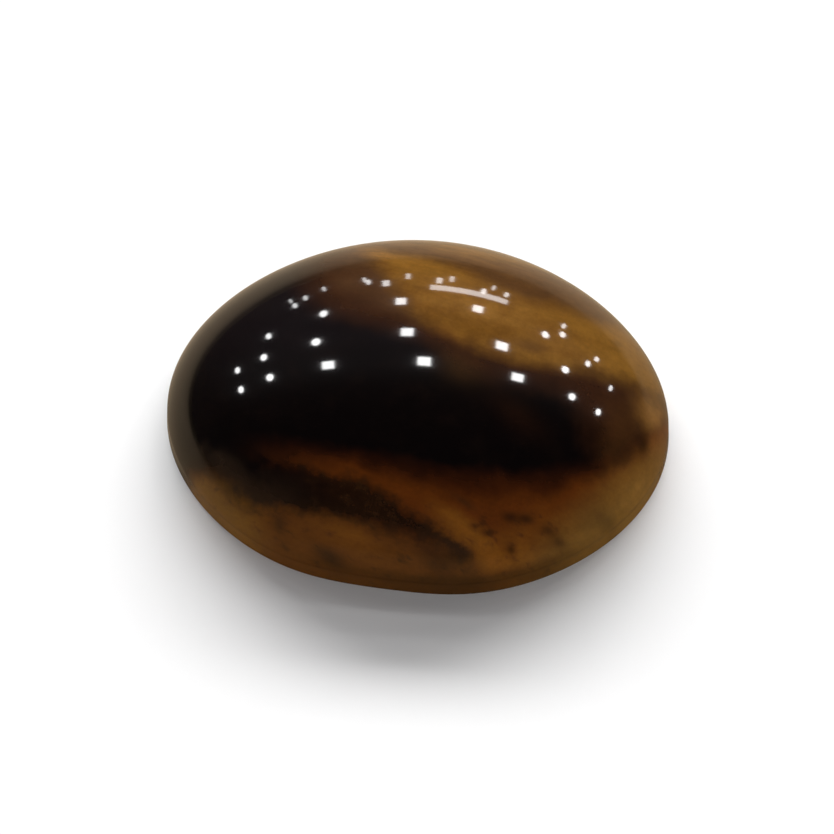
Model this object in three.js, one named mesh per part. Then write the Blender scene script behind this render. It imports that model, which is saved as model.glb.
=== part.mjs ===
// A polished tiger's eye: one stone cut as an oval cabochon, lying on its flat base.
// Millimetres. +X runs along the length, +Y across the width, +Z up from the base to the crown.
// The origin is the middle of the flat base.

import * as THREE from "three";

// Size of the finished stone
const LENGTH = 25.0;
const WIDTH = 18.1;
const HEIGHT = 7.2;

// Section through the stone: heights in mm, radii as shares of the outline's own radius
const BEVEL_HEIGHT = 0.3;
const BASE_RADIUS = 0.965;
const SPRING_HEIGHT = 0.95;
const RIDGE_RADIUS = 0.993;

// Outline cut by hand: it wavers a little from a true ellipse and is flatter along the front
const THREE_LOBE_SHARE = 0.0035;
const THREE_LOBE_TURN = THREE.MathUtils.degToRad(87);
const FOUR_LOBE_SHARE = 0.0055;
const FOUR_LOBE_TURN = THREE.MathUtils.degToRad(-4);
const FLAT_SHARE = 0.043;
const FLAT_TURN = THREE.MathUtils.degToRad(-96);
const FLAT_SPREAD = THREE.MathUtils.degToRad(19);

// Fineness of the facets
const STEPS_ROUND = 96;
const STEPS_UP_DOME = 18;

// Look of the stone as a whole
const STONE_COLOUR = 0x4a2d13;
const STONE_ROUGHNESS = 0.15;

// Signed angle from one direction to another, between -PI and PI
function turnBetween(from, to) {
  const turn = to - from;
  return Math.atan2(Math.sin(turn), Math.cos(turn));
}

// Radius of the outline at an angle, as a share of the plain ellipse
function outlineShare(angle) {
  const threeLobes = THREE_LOBE_SHARE * Math.cos(3 * (angle - THREE_LOBE_TURN));
  const fourLobes = FOUR_LOBE_SHARE * Math.cos(4 * (angle - FOUR_LOBE_TURN));
  const fromFlat = turnBetween(FLAT_TURN, angle) / FLAT_SPREAD;
  const flat = FLAT_SHARE * Math.exp(-fromFlat * fromFlat);
  return 1 + threeLobes + fourLobes - flat;
}

// Half section from the middle of the base out over the wall and up the dome to the crown.
// The dome is a quarter ellipse. It would meet the full radius at the spring height, and the
// wall cuts it off a little higher, which leaves a faint ridge round the stone.
function halfSection() {
  const section = [
    new THREE.Vector2(0, 0),
    new THREE.Vector2(BASE_RADIUS, 0),
    new THREE.Vector2(1, BEVEL_HEIGHT),
  ];
  const domeRise = HEIGHT - SPRING_HEIGHT;
  const ridgeAngle = Math.asin(RIDGE_RADIUS);
  for (let step = 0; step < STEPS_UP_DOME; step += 1) {
    const angle = ridgeAngle * (1 - step / STEPS_UP_DOME);
    const radius = Math.sin(angle);
    const height = SPRING_HEIGHT + domeRise * Math.cos(angle);
    section.push(new THREE.Vector2(radius, height));
  }
  section.push(new THREE.Vector2(0, HEIGHT));
  return section;
}

// Spins the half section, pulls each ring out to the oval outline and trues the result to size
function stoneGeometry() {
  const geometry = new THREE.LatheGeometry(halfSection(), STEPS_ROUND);
  geometry.rotateX(Math.PI / 2);
  const position = geometry.getAttribute("position");
  for (let index = 0; index < position.count; index += 1) {
    const angle = Math.atan2(position.getY(index), position.getX(index));
    const share = outlineShare(angle);
    position.setX(index, position.getX(index) * share);
    position.setY(index, position.getY(index) * share);
  }
  geometry.computeBoundingBox();
  const middle = geometry.boundingBox.getCenter(new THREE.Vector3());
  const extent = geometry.boundingBox.getSize(new THREE.Vector3());
  geometry.translate(-middle.x, -middle.y, 0);
  geometry.scale(LENGTH / extent.x, WIDTH / extent.y, 1);
  geometry.computeVertexNormals();
  return geometry;
}

const stoneMaterial = new THREE.MeshStandardMaterial({
  color: STONE_COLOUR,
  roughness: STONE_ROUGHNESS,
  metalness: 0,
});

const stone = new THREE.Mesh(stoneGeometry(), stoneMaterial);
stone.name = "stone";

const tigersEye = new THREE.Group();
tigersEye.add(stone);

export default tigersEye;
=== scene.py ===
import math

import bpy
import numpy as np
from mathutils import Matrix, Vector


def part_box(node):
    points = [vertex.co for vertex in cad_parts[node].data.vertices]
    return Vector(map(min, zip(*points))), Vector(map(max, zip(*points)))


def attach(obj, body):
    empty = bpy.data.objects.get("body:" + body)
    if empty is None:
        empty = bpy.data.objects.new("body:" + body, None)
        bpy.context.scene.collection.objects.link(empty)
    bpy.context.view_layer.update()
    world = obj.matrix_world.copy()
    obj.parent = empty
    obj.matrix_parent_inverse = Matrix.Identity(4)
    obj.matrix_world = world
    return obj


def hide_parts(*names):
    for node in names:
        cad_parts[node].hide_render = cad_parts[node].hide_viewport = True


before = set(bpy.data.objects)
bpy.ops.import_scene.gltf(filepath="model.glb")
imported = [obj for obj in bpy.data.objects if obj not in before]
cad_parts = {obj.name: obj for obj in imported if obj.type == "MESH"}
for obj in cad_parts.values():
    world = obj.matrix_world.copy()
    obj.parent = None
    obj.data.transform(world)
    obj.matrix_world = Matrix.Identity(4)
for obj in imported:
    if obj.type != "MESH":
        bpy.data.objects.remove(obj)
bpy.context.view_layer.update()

# Units and the stone's own size
MM = 0.001
LOW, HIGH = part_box("stone")
HALF_LENGTH = (HIGH.x - LOW.x) / 2 / MM
HALF_WIDTH = (HIGH.y - LOW.y) / 2 / MM
HEIGHT = HIGH.z / MM

# Section of the stone: heights in mm, radii as shares of the outline's own radius
BEVEL_HEIGHT = 0.3
BASE_RADIUS = 0.965
SPRING_HEIGHT = 0.95
RIDGE_RADIUS = 0.993
EDGE_EASE = 0.09
EASE_REACH = 3 * EDGE_EASE

# Hand-cut outline: a slight waver on the ellipse and a flatter stretch along the front
THREE_LOBE_SHARE = 0.0035
THREE_LOBE_TURN = math.radians(87)
FOUR_LOBE_SHARE = 0.0055
FOUR_LOBE_TURN = math.radians(-4)
FLAT_SHARE = 0.043
FLAT_TURN = math.radians(-96)
FLAT_SPREAD = math.radians(19)

# Fineness of the skin: steps and samples, and gaps between rings in mm
STEPS_ROUND = 400
DOME_SAMPLES = 600
PATH_SAMPLES = 4001
RING_GAP_BASE = 1.0
RING_GAP_WALL = 0.06
RING_GAP_DOME = 0.14

# Camera, from the photograph: turned a little to the right and looking steeply down
VIEW_AZIMUTH = math.radians(3.49)
VIEW_ELEVATION = math.radians(70)
VIEW_TARGET = Vector((0.0, -0.844, 3.0)) * MM
VIEW_DISTANCE = 200 * MM
VIEW_WIDTH = 40.97 * MM
SENSOR_WIDTH = 36
CLIP_START = 10 * MM

# Even rows of small overhead lamps behind the stone, in shares of the lamps' height: how far behind, how much
# the row bows towards the stone, the place of its first lamp, the step from lamp to lamp, and their number
LAMP_HEIGHT = 1200 * MM
LAMP_ROWS = (
    (0.50, 0.05, -1.35, 0.45, 7),
    (0.85, 0.00, -1.60, 0.50, 6),
    (1.60, 0.10, -1.30, 0.55, 7),
    (2.00, 0.00, 1.30, 0.70, 2),
    (3.00, 0.05, -1.60, 1.10, 4),
    (3.50, 0.00, -1.70, 0.90, 4),
    (4.20, 0.00, -2.30, 0.65, 6),
)

# Lamps as the stone sees them: width and height as angles, and radiance. Farther rows look narrower, a little
# taller and dimmer
LAMP_WIDTH_ANGLE = 0.064
LAMP_WIDTH_FADE = 3.0
LAMP_HEIGHT_ANGLE = 0.066
LAMP_HEIGHT_GAIN = 0.005
LAMP_RADIANCE = 30.0
LAMP_RADIANCE_FADE = 3.0

# Lamps farther along a row than this are round, with these shares of the others' width and height
ROUND_LAMP_FROM = 0.5
ROUND_LAMP_SHARES = (0.80, 0.95)

# One long lamp among the rows: its place along and behind, and its size, in shares of the lamps' height
STRIP_PLACE = (0.38, 2.50)
STRIP_SIZE = (0.78, 0.18)
STRIP_RADIANCE = 8.0

# Soft lamps that light the floor and shape the shadow: a wide one behind the stone and a weak one in front.
# Around them the surroundings are dim
KEY_ELEVATION = math.radians(35)
KEY_DISTANCE = 1000 * MM
KEY_SIZE = (1900 * MM, 240 * MM)
KEY_RADIANCE = 13.7
FILL_ELEVATION = math.radians(26)
FILL_DISTANCE = 1000 * MM
FILL_SIZE = (1400 * MM, 600 * MM)
FILL_RADIANCE = 1.8
SURROUNDINGS = (0.019, 0.016, 0.019, 1)

# Colours of the stone's bands, as linear red, green and blue
NEAR_BLACK = (0.0017, 0.0008, 0.0006)
CHOCOLATE = (0.0055, 0.0026, 0.0016)
SMOKE = (0.0042, 0.0025, 0.0028)
RED_BROWN = (0.027, 0.0084, 0.0022)
DULL_BROWN = (0.055, 0.0225, 0.0068)
CHESTNUT = (0.215, 0.090, 0.0150)
GOLD = (0.110, 0.0425, 0.0032)
HONEY = (0.170, 0.076, 0.0095)
DEEP_ORANGE = (0.050, 0.0110, 0.0014)
ORANGE = (0.115, 0.028, 0.0026)
AMBER = (0.220, 0.074, 0.0070)
TOFFEE = (0.120, 0.040, 0.0060)
TAN = (0.190, 0.080, 0.0115)
SAND = (0.250, 0.120, 0.0210)
# Colour of the painted glint at the right tip
GLINT_SAND = (0.380, 0.180, 0.0400)
OLIVE = (0.047, 0.0200, 0.0055)
DARK_OLIVE = (0.024, 0.0115, 0.0052)
SPECK = (0.016, 0.0060, 0.0018)
VEIL = (0.021, 0.0115, 0.0058)

# Drift of the bands: blobs in a mm and reach in mm. The slow drift is weaker across the stone
SLOW_DRIFT = (0.22, 0.35)
QUICK_DRIFT = (1.3, 0.14)
SLOW_DRIFT_ACROSS = 0.6
DRIFT_DETAIL = 1.0

# Level lines of the bands, in mm: the front ones slope and bend, the back ones climb to the left of a knee
FRONT_SLOPE = 0.40
FRONT_BEND = 0.009
BACK_KNEE = 4.0
BACK_KNEE_EASE = 3.0
BACK_CLIMB = 0.15
BACK_RISE = 0.9

# Noises in the stone: blobs in a mm, detail and roughness
CLOUDS = (0.7, 4.0, 0.6)
PATCHES = (1.8, 5.0, 0.65)
GRAIN = (5.5, 3.0, 0.6)
STREAKS = (0.8, 3.0, 0.5)
SILK = (5.0, 3.0, 0.6)
FLECKS = (2.6, 2.0, 0.5)
NOISE_GAIN = 2.6

# Blobs in a mm along the bands and upwards, as shares of those across the bands
STREAK_SHARE = 0.2
SILK_SHARE = 0.07
FLECK_SHARE = 0.55
UPRIGHT_SHARE = 0.5

# Soft marks along the bands: plan place, half length and half width in mm, and strength
BROWN_GLOW = (4.9, -1.7, 1.3, 0.8, 0.25)
CHESTNUT_GLOW = (2.0, 0.4, 1.1, 0.8, 0.09)
AMBER_GLOW = (1.5, 2.4, 0.9, 0.6, 0.25)
HONEY_GLOW = (0.6, 5.7, 1.8, 0.7, 0.7)
DULL_MARK = (5.3, 1.9, 0.9, 0.4, 0.6)
DULL_LEFT_MARK = (-3.8, 5.0, 1.0, 0.6, 0.9)
AMBER_MARK = (-2.9, -7.45, 1.5, 0.5, 0.6)

# Brown specks and olive spots, and olive smears that lie along the bands, written in the same way
SPECKS = (
    (4.85, -6.38, 0.40, 0.22, 0.70),
    (5.60, -6.34, 0.42, 0.23, 0.75),
    (6.70, -6.62, 0.45, 0.24, 0.55),
    (7.30, -6.92, 0.45, 0.25, 0.60),
    (4.97, -7.60, 0.26, 0.20, 0.70),
    (3.15, -6.92, 0.36, 0.15, 0.50),
    (3.75, -7.14, 0.36, 0.15, 0.55),
    (11.1, -1.85, 0.35, 0.60, 0.75),
    (10.4, -2.60, 0.55, 0.55, 0.35),
)
OLIVE_SPOTS = (
    (8.50, -6.00, 0.50, 0.40, 0.20),
    (9.40, -5.55, 0.90, 0.45, 0.45),
    (2.30, -8.12, 0.75, 0.38, 0.65),
    (3.10, -8.50, 0.80, 0.35, 0.45),
    (3.60, -8.90, 0.90, 0.25, 0.35),
    (6.60, -7.35, 0.80, 0.45, 0.20),
)
OLIVE_SMEARS = (
    (2.60, -6.00, 0.60, 0.18, 0.45),
    (1.40, -8.30, 1.10, 0.50, 0.55),
    (-3.80, -8.25, 0.85, 0.30, 0.75),
    (-6.30, -7.00, 0.38, 0.30, 0.55),
)

# Faint painted shade line along the ridge between the wall and the dome, at the front: height and half width
# in mm
RIDGE_LINE_HEIGHT = 1.75
RIDGE_LINE_WIDTH = 0.13

# How strongly each texture lightens and darkens the stone, with the painted shade on the ridge and the
# painted light on the low wall, and the least shade
SHADE_STREAKS = 0.06
SHADE_SILK = 0.08
SHADE_CLOUDS = 0.14
SHADE_PATCHES = 0.16
SHADE_GRAIN = 0.12
SHADE_BACK_STREAKS = 0.65
SHADE_BACK_SILK = 0.40
SHADE_PAINTED_RIDGE = 0.25
SHADE_PAINTED_WALL_LIGHT = 0.45
LEAST_SHADE = 0.3

# Finish of the stone, a silky body under a clear coat, and of the floor
STONE_FINISH = {
    "Metallic": 0.1,
    "Roughness": 0.34,
    "IOR": 1.54,
    "Specular IOR Level": 0.05,
    "Anisotropic": 0.5,
    "Coat Weight": 1.0,
    "Coat Roughness": 0.055,
    "Coat IOR": 1.54,
}
FLOOR_FINISH = {"Roughness": 0.8, "Specular IOR Level": 0.0}

# Floor: half its side in m, its colour, and the warmer, darker tones of it that the polish mirrors
FLOOR_HALF = 6.0
PALE_FLOOR = (0.92, 0.92, 0.92)
MIRRORED_BACK = (0.47, 0.36, 0.24)
MIRRORED_FRONT = (0.085, 0.050, 0.020)

# Mirrored tones over the floor, in mm: they change across a slanted line, and darken with distance, which
# counts for more from front to back
MIRROR_SLANT = 0.3
MIRROR_SPAN = 11.0
MIRROR_NEAR = 4.0
MIRROR_FAR = 100.0
MIRROR_FAR_SHARE = 0.12
MIRROR_STRETCH = 1.7


def outline_share(turn):
    """Radius of the outline at an angle, as a share of the ellipse: one, plus three and four gentle lobes,
    less a bell-shaped flat along the front."""
    lobes = THREE_LOBE_SHARE * np.cos(3 * (turn - THREE_LOBE_TURN))
    lobes = lobes + FOUR_LOBE_SHARE * np.cos(4 * (turn - FOUR_LOBE_TURN))
    from_flat = np.angle(np.exp(1j * (turn - FLAT_TURN))) / FLAT_SPREAD
    return 1 + lobes - FLAT_SHARE * np.exp(-from_flat**2)


def half_section():
    """Half section of the stone as radius shares and heights: flat base, bevel, wall, then a quarter ellipse
    up to the crown. Sharp corners are eased by a moving average along the path."""
    ridge_angle = math.asin(RIDGE_RADIUS)
    dome_rise = HEIGHT - SPRING_HEIGHT
    angles = np.linspace(ridge_angle, 0, DOME_SAMPLES)
    radius = np.concatenate([[0, BASE_RADIUS, 1], np.sin(angles)])
    height = np.concatenate([[0, 0, BEVEL_HEIGHT], SPRING_HEIGHT + dome_rise * np.cos(angles)])
    path = np.concatenate([[0], np.cumsum(np.hypot(np.diff(radius) * HALF_WIDTH, np.diff(height)))])
    fine = np.linspace(0, path[-1], PATH_SAMPLES)
    width = int(EDGE_EASE / fine[1]) * 2 + 1
    kernel = np.ones(width) / width
    eased = []
    for values, mirror in ((radius, -1), (height, 1)):
        sampled = np.interp(fine, path, values)
        before = mirror * sampled[width:0:-1]
        after = mirror * sampled[-2:-width - 2:-1]
        padded = np.concatenate([before, sampled, after])
        eased.append(np.convolve(padded, kernel, mode="same")[width:-width])
    base_end = path[1] - EASE_REACH
    wall_end = path[3] + EASE_REACH
    stops = np.concatenate([
        np.linspace(0, base_end, int(base_end / RING_GAP_BASE), endpoint=False),
        np.linspace(base_end, wall_end, int((wall_end - base_end) / RING_GAP_WALL), endpoint=False),
        np.linspace(wall_end, path[-1], int((path[-1] - wall_end) / RING_GAP_DOME)),
    ])
    return np.interp(stops, fine, eased[0]), np.interp(stops, fine, eased[1])


def stone_skin():
    """The stone's skin: the half section spun about the upright axis, each ring pulled out to the oval
    outline, and the whole trued to the box of the solid that it stands for. One point closes each pole."""
    radius, height = half_section()
    turn = np.linspace(0, 2 * np.pi, STEPS_ROUND, endpoint=False)
    share = outline_share(turn)
    x = np.outer(radius[1:-1], share * np.cos(turn))
    y = np.outer(radius[1:-1], share * np.sin(turn))
    z = np.repeat(height[1:-1, None], STEPS_ROUND, axis=1)
    middle_x, middle_y = (x.max() + x.min()) / 2, (y.max() + y.min()) / 2
    scale_x, scale_y = 2 * HALF_LENGTH / np.ptp(x), 2 * HALF_WIDTH / np.ptp(y)
    pole_x, pole_y = -middle_x * scale_x, -middle_y * scale_y
    points = np.stack([x * scale_x + pole_x, y * scale_y + pole_y, z], axis=-1).reshape(-1, 3)
    poles = np.array([[pole_x, pole_y, 0], [pole_x, pole_y, HEIGHT]])
    points = np.concatenate([points, poles]) * MM

    rings = len(radius) - 2
    here = np.arange(STEPS_ROUND)
    after = (here + 1) % STEPS_ROUND
    start = np.arange(rings - 1)[:, None] * STEPS_ROUND
    above = start + STEPS_ROUND
    quads = np.stack([start + here, start + after, above + after, above + here], axis=-1)
    bottom, top = len(points) - 2, len(points) - 1
    last = (rings - 1) * STEPS_ROUND
    base_fan = np.stack([after, here, np.full_like(here, bottom)], axis=-1)
    crown_fan = np.stack([last + here, last + after, np.full_like(here, top)], axis=-1)
    return points, quads.reshape(-1, 4), np.concatenate([base_fan, crown_fan])


def make_stone():
    """Makes the mesh object of the stone with a plan-view UV map, whose first axis runs along the length."""
    points, quads, fans = stone_skin()
    mesh = bpy.data.meshes.new("tigers_eye_stone")
    mesh.from_pydata(points.tolist(), [], quads.tolist() + fans.tolist())
    mesh.shade_smooth()
    corners = np.empty(len(mesh.loops), np.int32)
    mesh.loops.foreach_get("vertex_index", corners)
    plan = points[corners, :2] / (2 * HALF_LENGTH * MM) + 0.5
    mesh.uv_layers.new(name="plan").data.foreach_set("uv", plan.ravel().astype(np.float32))
    stone = bpy.data.objects.new("tigers_eye_stone", mesh)
    bpy.context.scene.collection.objects.link(stone)
    return stone


class Field:
    """A number that varies over the stone, held as a node socket. Arithmetic on fields adds Math nodes."""

    def __init__(self, tree, socket):
        self.tree = tree
        self.socket = socket

    def math(self, operation, *others):
        """Adds a Math node that works on this field and the others."""
        node = self.tree.nodes.new("ShaderNodeMath")
        node.operation = operation
        for place, value in enumerate((self, *others)):
            if isinstance(value, Field):
                self.tree.links.new(value.socket, node.inputs[place])
            else:
                node.inputs[place].default_value = value
        return Field(self.tree, node.outputs[0])

    def __add__(self, other):
        return self.math("ADD", other)

    def __sub__(self, other):
        return self.math("SUBTRACT", other)

    def __mul__(self, other):
        return self.math("MULTIPLY", other)

    def __truediv__(self, other):
        return self.math("DIVIDE", other)

    def __neg__(self):
        return self.math("MULTIPLY", -1.0)

    def __pow__(self, other):
        return self.math("POWER", other)

    def most(self, other):
        """The larger of the two at each place."""
        return self.math("MAXIMUM", other)

    def rise(self, low, high):
        """Smooth step from 0 at low to 1 at high. With low above high it falls instead."""
        node = self.tree.nodes.new("ShaderNodeMapRange")
        node.interpolation_type = "SMOOTHSTEP"
        start, end, first, last = (low, high, 0.0, 1.0) if low < high else (high, low, 1.0, 0.0)
        for name, value in (("From Min", start), ("From Max", end), ("To Min", first), ("To Max", last)):
            node.inputs[name].default_value = value
        self.tree.links.new(self.socket, node.inputs["Value"])
        return Field(self.tree, node.outputs["Result"])

    def bell(self, width):
        """One where the field is zero, falling off like a bell over the given width."""
        scaled = self * (1.0 / width)
        return (-(scaled * scaled)).math("EXPONENT")


class Pattern:
    """Helpers that add pattern nodes to one material: coordinates, noise and colour mixes."""

    def __init__(self, material):
        self.tree = material.node_tree
        place = self.tree.nodes.new("ShaderNodeTexCoord").outputs["Object"]
        scaled = self.tree.nodes.new("ShaderNodeVectorMath")
        scaled.operation = "SCALE"
        scaled.inputs["Scale"].default_value = 1 / MM
        self.tree.links.new(place, scaled.inputs[0])
        self.place = scaled.outputs[0]
        split = self.tree.nodes.new("ShaderNodeSeparateXYZ")
        self.tree.links.new(self.place, split.inputs[0])
        self.x, self.y, self.z = (Field(self.tree, socket) for socket in split.outputs)

    def vector(self, x, y, z):
        """A place made of three fields."""
        node = self.tree.nodes.new("ShaderNodeCombineXYZ")
        for place, value in enumerate((x, y, z)):
            self.tree.links.new(value.socket, node.inputs[place])
        return node.outputs[0]

    def noise(self, place, per_mm, detail, roughness):
        """Noise from about -1 to 1, with per_mm blobs in a millimetre."""
        node = self.tree.nodes.new("ShaderNodeTexNoise")
        node.inputs["Scale"].default_value = per_mm
        node.inputs["Detail"].default_value = detail
        node.inputs["Roughness"].default_value = roughness
        self.tree.links.new(place, node.inputs["Vector"])
        return (Field(self.tree, node.outputs["Fac"]) - 0.5) * NOISE_GAIN

    def drift(self, per_mm, reach):
        """Two noises that vary on their own, each within about the reach in mm."""
        node = self.tree.nodes.new("ShaderNodeTexNoise")
        node.inputs["Scale"].default_value = per_mm
        node.inputs["Detail"].default_value = DRIFT_DETAIL
        self.tree.links.new(self.place, node.inputs["Vector"])
        split = self.tree.nodes.new("ShaderNodeSeparateColor")
        self.tree.links.new(node.outputs["Color"], split.inputs[0])
        return tuple((Field(self.tree, socket) - 0.5) * (2 * reach) for socket in split.outputs[:2])

    def scaled(self, colour, amount):
        """A colour made lighter or darker by a field."""
        node = self.tree.nodes.new("ShaderNodeVectorMath")
        node.operation = "SCALE"
        self.tree.links.new(colour, node.inputs[0])
        self.tree.links.new(amount.socket, node.inputs["Scale"])
        return node.outputs[0]

    def mix(self, amount, first, second):
        """Goes from the first colour to the second as the amount goes from 0 to 1."""
        node = self.tree.nodes.new("ShaderNodeMix")
        node.data_type = "RGBA"
        self.tree.links.new(amount.socket, node.inputs["Factor"])
        colours = [socket for socket in node.inputs if socket.type == "RGBA"]
        for socket, colour in zip(colours, (first, second)):
            if isinstance(colour, tuple):
                socket.default_value = (*colour, 1.0)
            else:
                self.tree.links.new(colour, socket)
        return next(socket for socket in node.outputs if socket.type == "RGBA")


class StonePlan(Pattern):
    """The stone seen in plan, in mm. Its bands are sheets that stand on the base, so they are drawn in plan
    places that drift a little, as the bands of a grown stone do. Level lines of front_across follow the bands
    of the front half: they slope down to the right, more and more steeply. Those of back_across follow the
    edge of the gold along the back: level on the right and climbing to the left. Spots and marks keep to
    places that don't drift."""

    def __init__(self, material):
        super().__init__(material)
        self.still_x, self.still_y = self.x, self.y
        slow_x, slow_y = self.drift(*SLOW_DRIFT)
        quick_x, quick_y = self.drift(*QUICK_DRIFT)
        self.x = self.x + slow_x + quick_x
        self.y = self.y + slow_y * SLOW_DRIFT_ACROSS + quick_y
        self.front_across = self.front_level(self.x, self.y)
        self.back_across = self.back_level(self.x, self.y)
        self.clouds = self.noise(self.place, *CLOUDS)
        self.patches = self.noise(self.place, *PATCHES)
        self.grain = self.noise(self.place, *GRAIN)
        self.front_streaks = self.drawn_out(self.front_across, STREAK_SHARE, STREAKS)
        self.front_silk = self.drawn_out(self.front_across, SILK_SHARE, SILK)
        self.back_streaks = self.drawn_out(self.back_across, STREAK_SHARE, STREAKS)
        self.back_silk = self.drawn_out(self.back_across, SILK_SHARE, SILK)

    def front_level(self, x, y):
        """Level of the front bands: y, plus a slope and a bend along x."""
        return y + x * FRONT_SLOPE + x * x * FRONT_BEND

    def back_level(self, x, y):
        """Level of the back bands: y, less a climb that sets in smoothly to the left of the knee."""
        knee = -x + BACK_KNEE
        return y - (knee + (knee * knee + BACK_KNEE_EASE) ** 0.5) * BACK_CLIMB - BACK_RISE

    def drawn_out(self, across, along_share, kind):
        """Noise of the given kind, drawn out along the level lines."""
        return self.noise(self.vector(self.x * along_share, across, self.z * UPRIGHT_SHARE), *kind)

    def spot(self, x, y, half_length, half_width, strength):
        """A soft spot: a bell along the length times a bell across it, times the strength."""
        return (self.still_x - x).bell(half_length) * (self.still_y - y).bell(half_width) * strength

    def front_mark(self, x, y, half_length, half_width, strength):
        """A soft mark in the front half: bells along the bands and across them, times the strength."""
        off_line = self.front_level(self.still_x, self.still_y) - self.front_level(x, y)
        return (self.still_x - x).bell(half_length) * off_line.bell(half_width) * strength

    def back_mark(self, x, y, half_length, half_width, strength):
        """The same in the back half."""
        off_line = self.back_level(self.still_x, self.still_y) - self.back_level(x, y)
        return (self.still_x - x).bell(half_length) * off_line.bell(half_width) * strength


# The bands, from the middle outwards. Numbers in them are plan places and widths in mm, or shares of a mix


def dark_heart(plan):
    """The wide dark band: near-black with chocolate clouds, smoky towards the back, with brown fibres on the
    back itself. At the right end it turns to brown, then to chestnut, with a pale patch at the tip that is a
    painted glint."""
    body = plan.mix(plan.clouds.rise(-0.2, 1.0) * 0.6, NEAR_BLACK, CHOCOLATE)
    body = plan.mix(plan.y.rise(-1.0, 3.0), body, SMOKE)
    back_fibres = plan.back_streaks.rise(0.0, 1.0) * plan.y.rise(4.5, 7.5) * 0.55
    body = plan.mix(back_fibres, body, RED_BROWN)
    right_end = plan.x + plan.y * 0.6 + plan.clouds * 0.4
    body = plan.mix(right_end.rise(5.8, 8.8), body, RED_BROWN)
    body = plan.mix(plan.front_mark(*BROWN_GLOW), body, RED_BROWN)
    chestnut = (plan.x + plan.y * 0.6).rise(9.7, 12.0).most(plan.x.rise(8.5, 10.0) * 0.08)
    body = plan.mix(chestnut, body, CHESTNUT)
    # Painted highlight: a pale glint at the right tip
    painted_tip_glint = (plan.x - 11.6).bell(0.8) * (plan.y - 0.4).bell(1.0)
    return plan.mix(painted_tip_glint * 0.8, body, GLINT_SAND)


def gold_field(plan, body):
    """Gold along the back, turning to honey in streaks. A brown margin lies between it and the dark, with a
    little chestnut and amber at the edge. It dulls to brown along the back, where a honey stripe runs through
    it, and at the left end."""
    above = plan.back_across - plan.x.rise(3.5, 0.5) * 0.33 + plan.back_streaks * 0.2 + plan.clouds * 0.22
    left_end = plan.x + plan.y * 0.6
    margin_width = plan.x.rise(-0.5, 2.2) * 0.6 + 1.4
    margin = (above / margin_width).rise(-1.1, 0.1) * plan.x.rise(-7.0, -3.5)
    margin = margin * (plan.x.rise(10.0, 12.0) * -0.25 + 1.0)
    body = plan.mix(margin, body, RED_BROWN)
    body = plan.mix(plan.back_mark(*CHESTNUT_GLOW), body, CHESTNUT)
    body = plan.mix(plan.back_mark(*AMBER_GLOW), body, AMBER)
    lively = plan.back_streaks * 0.8 + plan.clouds * 0.7 + plan.x.rise(5.5, 11.0) * 1.1
    golden = plan.mix(lively.rise(-0.8, 0.9), GOLD, HONEY)
    golden = plan.mix(plan.back_mark(*HONEY_GLOW), golden, HONEY)
    near_back = above + plan.x.rise(2.0, 6.0) * 0.7 + plan.x.rise(6.5, 8.5) * 0.4
    golden = plan.mix(near_back.rise(3.7, 4.9) * plan.x.rise(11.5, 8.5) * 0.85, golden, DULL_BROWN)
    golden = plan.mix(plan.back_mark(*DULL_MARK), golden, DULL_BROWN)
    back_stripe = (plan.back_across + plan.back_streaks * 0.5 - 6.3).bell(0.55) * plan.y.rise(6.6, 7.6)
    golden = plan.mix(back_stripe * plan.x.rise(-4.0, 1.0) * 0.7, golden, HONEY)
    golden = plan.mix(left_end.rise(2.2, 0.5), golden, DULL_BROWN)
    golden = plan.mix(left_end.rise(1.0, -1.2) * 0.8, golden, RED_BROWN)
    golden = plan.mix(plan.back_mark(*DULL_LEFT_MARK), golden, DULL_BROWN)
    return plan.mix(above.rise(-0.55, 0.85) * plan.x.rise(-6.8, -3.2), body, golden)


def warm_field(plan, body):
    """Orange along the front, below the dark, whose edge is level in the middle and climbs to both ends. It
    fades out at the left end. It turns to amber in a streak that slants to the right and in the foot below
    it, and to sand at the right end. Along the front edge it is tan on the left and toffee on the rest. Dark
    flecks are strewn over it, but not at the right end."""
    left_arm = (-plan.x + 2.0).most(0.0) * 0.15
    past_middle = (plan.x - 2.0).most(0.0)
    right_arm = past_middle * past_middle * 0.0280 + (plan.x - 9.8).most(0.0) * 0.8
    below = left_arm + right_arm - plan.y - 5.15 + plan.front_streaks * 0.2 + plan.clouds * 0.25
    at_edge = plan.front_across.rise(-7.0, -8.2)
    well_below = below - plan.x.rise(0.5, 2.5) * 0.4 + plan.x.rise(6.5, 8.5) * 0.6
    warm = plan.mix(well_below.rise(-0.3, 0.9), DEEP_ORANGE, ORANGE)
    amber_streak = (-plan.front_across - 5.5).rise(-0.4, 0.4)
    amber_foot = (plan.x * 0.6 - plan.y - 10.2).rise(-1.3, 0.9)
    amber = amber_streak.most(amber_foot) * plan.x.rise(0.2, 2.8) * plan.x.rise(8.7, 4.2)
    warm = plan.mix(amber, warm, AMBER)
    front_right = plan.x * 1.5 - plan.y * 1.4
    warm = plan.mix(front_right.rise(18.2, 22.8), warm, SAND)
    warm = plan.mix(at_edge, warm, plan.mix(plan.x.rise(-9.0, -6.0), TAN, TOFFEE))
    warm = plan.mix(plan.front_mark(*AMBER_MARK), warm, AMBER)
    flecks = plan.drawn_out(plan.front_across, FLECK_SHARE, FLECKS)
    flecked = well_below.rise(0.3, 1.3) * plan.x.rise(8.2, 6.8)
    warm = plan.mix(flecks.rise(0.1, 0.75) * flecked * 0.5, warm, DARK_OLIVE)
    present = plan.x.rise(-9.4, -2.8).most(at_edge)
    return plan.mix(below.rise(-0.9, 0.6) * present, body, warm)


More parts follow.
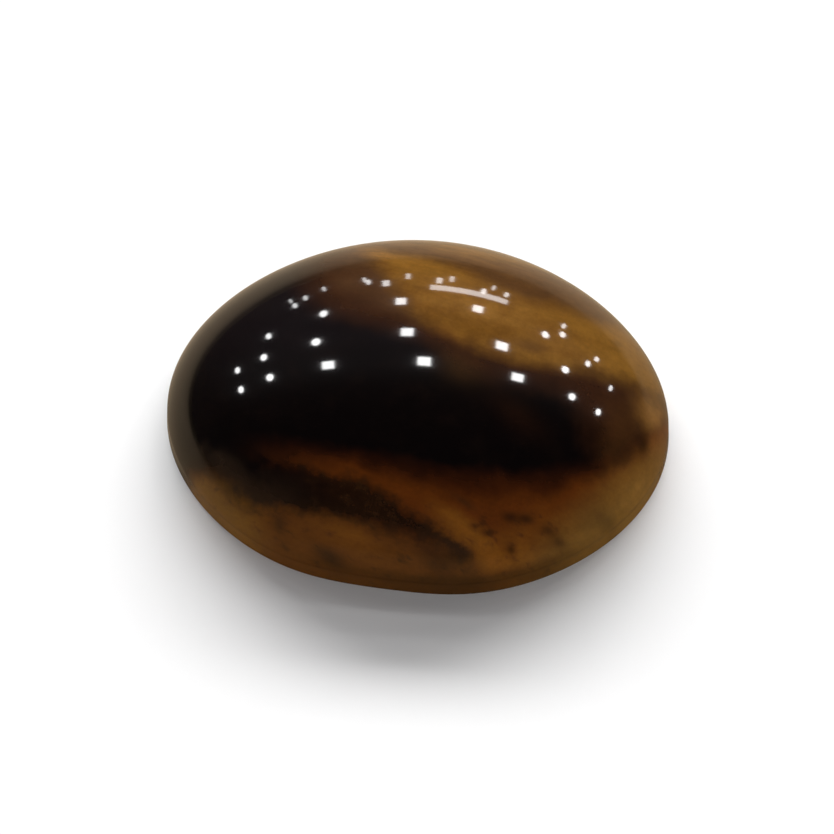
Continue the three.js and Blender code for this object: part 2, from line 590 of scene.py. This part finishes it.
def slanting_band(plan, body):
    """Dark band through the warm field, ragged and with olive patches. It joins the wide dark band at the
    left end, where a grey-brown veil lies over its foot, and narrows to the right. Along it near-black turns
    to brown and then to dark olive."""
    at_left = (-plan.x - 7.5).most(0.0)
    ragged = plan.front_streaks * 0.2 + plan.clouds * 0.22 + plan.patches * 0.45
    under_top = -plan.front_across - 6.5 + (plan.x + 2.1).bell(1.6) * 0.45 + ragged
    over_foot = plan.front_across - plan.x * 0.17 + 7.6 - at_left * at_left * 0.23 + ragged
    softness = at_left * 0.4 + 0.6
    band = under_top.rise(-0.35, 0.45) * (over_foot / softness).rise(-0.8, 0.9) * plan.x.rise(3.7, 2.7)
    colour = plan.mix(plan.x.rise(-6.5, -1.0), NEAR_BLACK, SPECK)
    colour = plan.mix(plan.x.rise(0.0, 2.5), colour, DARK_OLIVE)
    olive_patches = plan.patches.rise(-0.1, 0.9) * plan.x.rise(-7.0, -4.0)
    colour = plan.mix(olive_patches * 0.55, colour, OLIVE)
    veil = (over_foot - at_left * 0.5).rise(1.9, 0.3) * plan.x.rise(-4.0, -7.5)
    colour = plan.mix(veil, colour, VEIL)
    return plan.mix(band * 0.95, body, colour)


def set_finish(shader, finish):
    """Sets the shader's plain values by name."""
    for name, value in finish.items():
        shader.inputs[name].default_value = value


def tigers_eye_material():
    """Silky banded stone under a clear polish. The lit fibres have a soft sheen along the bands."""
    material = bpy.data.materials.new("polished_tigers_eye")
    material.use_nodes = True
    plan = StonePlan(material)
    tree = material.node_tree

    body = gold_field(plan, dark_heart(plan))
    body = slanting_band(plan, warm_field(plan, body))
    for speck in SPECKS:
        body = plan.mix(plan.spot(*speck), body, SPECK)
    for spot in OLIVE_SPOTS:
        body = plan.mix(plan.spot(*spot), body, DARK_OLIVE)
    for smear in OLIVE_SMEARS:
        body = plan.mix(plan.front_mark(*smear), body, DARK_OLIVE)
    # Painted shade: the low front wall is darkened towards olive, standing in for the shade near the base
    painted_foot_shade = plan.z.rise(2.9, 2.0) * plan.y.rise(-5.0, -7.5) * (plan.x - 3.0).bell(7.0)
    body = plan.mix(painted_foot_shade * 0.8, body, OLIVE)
    streaks = plan.front_streaks + plan.back_streaks
    silk = plan.front_silk + plan.back_silk
    # Painted shade: a faint dark line along the front of the ridge
    painted_ridge_shade = (plan.z - RIDGE_LINE_HEIGHT).bell(RIDGE_LINE_WIDTH) * plan.y.rise(0.0, -4.0)
    # Painted light: the low wall is made lighter everywhere but along the back, as if lit from the front
    painted_wall_light = plan.z.rise(2.3, 1.0) * plan.y.rise(6.5, 2.5)
    fibrous_back = plan.back_streaks * SHADE_BACK_STREAKS + plan.back_silk * SHADE_BACK_SILK
    shade = streaks * SHADE_STREAKS + silk * SHADE_SILK + plan.clouds * SHADE_CLOUDS
    shade = shade + plan.patches * SHADE_PATCHES + plan.grain * SHADE_GRAIN
    shade = shade + plan.y.rise(5.0, 8.0) * fibrous_back
    shade = shade - painted_ridge_shade * SHADE_PAINTED_RIDGE + painted_wall_light * SHADE_PAINTED_WALL_LIGHT + 1.0

    shader = tree.nodes["Principled BSDF"]
    tree.links.new(plan.scaled(body, shade.most(LEAST_SHADE)), shader.inputs["Base Color"])
    set_finish(shader, STONE_FINISH)
    tangent = tree.nodes.new("ShaderNodeTangent")
    tangent.direction_type = "UV_MAP"
    tangent.uv_map = "plan"
    tree.links.new(tangent.outputs[0], shader.inputs["Tangent"])
    return material


def make_floor():
    """A wide pale floor, level with the stone's base. Only its mirror images are toned down, and more so
    towards the front right and farther away."""
    corners = [(x * FLOOR_HALF, y * FLOOR_HALF, 0) for x, y in ((-1, -1), (1, -1), (1, 1), (-1, 1))]
    mesh = bpy.data.meshes.new("floor")
    mesh.from_pydata(corners, [], [(0, 1, 2, 3)])
    material = bpy.data.materials.new("pale_floor")
    material.use_nodes = True
    pattern = Pattern(material)
    mirrored = Field(pattern.tree, pattern.tree.nodes.new("ShaderNodeLightPath").outputs["Is Glossy Ray"])
    back_left = pattern.y - pattern.x * MIRROR_SLANT
    at_back_left = back_left.rise(-MIRROR_SPAN, MIRROR_SPAN)
    image_tone = pattern.mix(at_back_left, MIRRORED_FRONT, MIRRORED_BACK)
    away = (pattern.x * pattern.x + pattern.y * pattern.y * MIRROR_STRETCH) ** 0.5
    nearness = away.rise(MIRROR_FAR, MIRROR_NEAR) * (1 - MIRROR_FAR_SHARE) + MIRROR_FAR_SHARE
    image_tone = pattern.scaled(image_tone, nearness)
    shader = pattern.tree.nodes["Principled BSDF"]
    pattern.tree.links.new(pattern.mix(mirrored, PALE_FLOOR, image_tone), shader.inputs["Base Color"])
    set_finish(shader, FLOOR_FINISH)
    mesh.materials.append(material)
    floor = bpy.data.objects.new("floor", mesh)
    bpy.context.scene.collection.objects.link(floor)


def add_panel(name, place, size, radiance, aim, mirrored=True, shadow=True, shape="RECTANGLE"):
    """A flat lamp of the given radiance. It faces the aim, with its width as near to the X axis as can be."""
    light = bpy.data.lights.new(name, "AREA")
    light.shape = shape
    light.size, light.size_y = size
    light.energy = radiance * math.pi * size[0] * size[1]
    light.use_shadow = shadow
    lamp = bpy.data.objects.new(name, light)
    lamp.location = place
    away = (place - aim).normalized()
    across = (Vector((1, 0, 0)) - away * away.x).normalized()
    lamp.rotation_euler = Matrix((across, away.cross(across), away)).transposed().to_euler()
    lamp.visible_camera = False
    lamp.visible_glossy = mirrored
    bpy.context.scene.collection.objects.link(lamp)


def make_lights():
    """Rows of small overhead lamps and one strip lamp behind the stone, a wide soft key behind it, a weak
    soft fill in front that casts no shadow, and dim surroundings. The soft lamps light the stone but aren't
    mirrored in its polish."""
    middle = Vector((0, 0, 0))
    for distance, bow, first, step, count in LAMP_ROWS:
        for index in range(count):
            along = first + step * index
            place = Vector((along, distance - bow * along**2, 1.0)) * LAMP_HEIGHT
            width = LAMP_WIDTH_ANGLE * math.exp(-distance / LAMP_WIDTH_FADE) * place.length
            height = (LAMP_HEIGHT_ANGLE + LAMP_HEIGHT_GAIN * distance) * place.length
            radiance = LAMP_RADIANCE * math.exp(-math.hypot(along, distance) / LAMP_RADIANCE_FADE)
            is_round = abs(along) > ROUND_LAMP_FROM
            across, up = ROUND_LAMP_SHARES if is_round else (1.0, 1.0)
            shape = "ELLIPSE" if is_round else "RECTANGLE"
            size = (width * across, height * up)
            add_panel("overhead_lamp", place, size, radiance, middle, shape=shape)
    strip_size = [side * LAMP_HEIGHT for side in STRIP_SIZE]
    add_panel("strip_lamp", Vector((*STRIP_PLACE, 1.0)) * LAMP_HEIGHT, strip_size, STRIP_RADIANCE, middle)
    key_place = Vector((0, math.cos(KEY_ELEVATION), math.sin(KEY_ELEVATION))) * KEY_DISTANCE
    add_panel("soft_key", key_place, KEY_SIZE, KEY_RADIANCE, middle, mirrored=False)
    fill_place = Vector((0, -math.cos(FILL_ELEVATION), math.sin(FILL_ELEVATION))) * FILL_DISTANCE
    add_panel("soft_fill", fill_place, FILL_SIZE, FILL_RADIANCE, middle, mirrored=False, shadow=False)
    world = bpy.data.worlds.new("dim_surroundings")
    world.use_nodes = True
    world.node_tree.nodes["Background"].inputs["Color"].default_value = SURROUNDINGS
    bpy.context.scene.world = world


def make_camera():
    """The photograph's view: a long lens, close above the stone."""
    data = bpy.data.cameras.new("camera")
    data.sensor_width = SENSOR_WIDTH
    data.lens = SENSOR_WIDTH * VIEW_DISTANCE / VIEW_WIDTH
    data.clip_start = CLIP_START
    camera = bpy.data.objects.new("camera", data)
    level = math.cos(VIEW_ELEVATION)
    back = Vector((
        math.sin(VIEW_AZIMUTH) * level,
        -math.cos(VIEW_AZIMUTH) * level,
        math.sin(VIEW_ELEVATION),
    ))
    camera.location = VIEW_TARGET + back * VIEW_DISTANCE
    camera.rotation_euler = (-back).to_track_quat("-Z", "Y").to_euler()
    bpy.context.scene.collection.objects.link(camera)
    bpy.context.scene.camera = camera


make_camera()
make_floor()
make_lights()
stone = make_stone()
stone.data.materials.append(tigers_eye_material())
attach(stone, "root")
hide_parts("stone")
bpy.context.scene.view_settings.view_transform = "Standard"
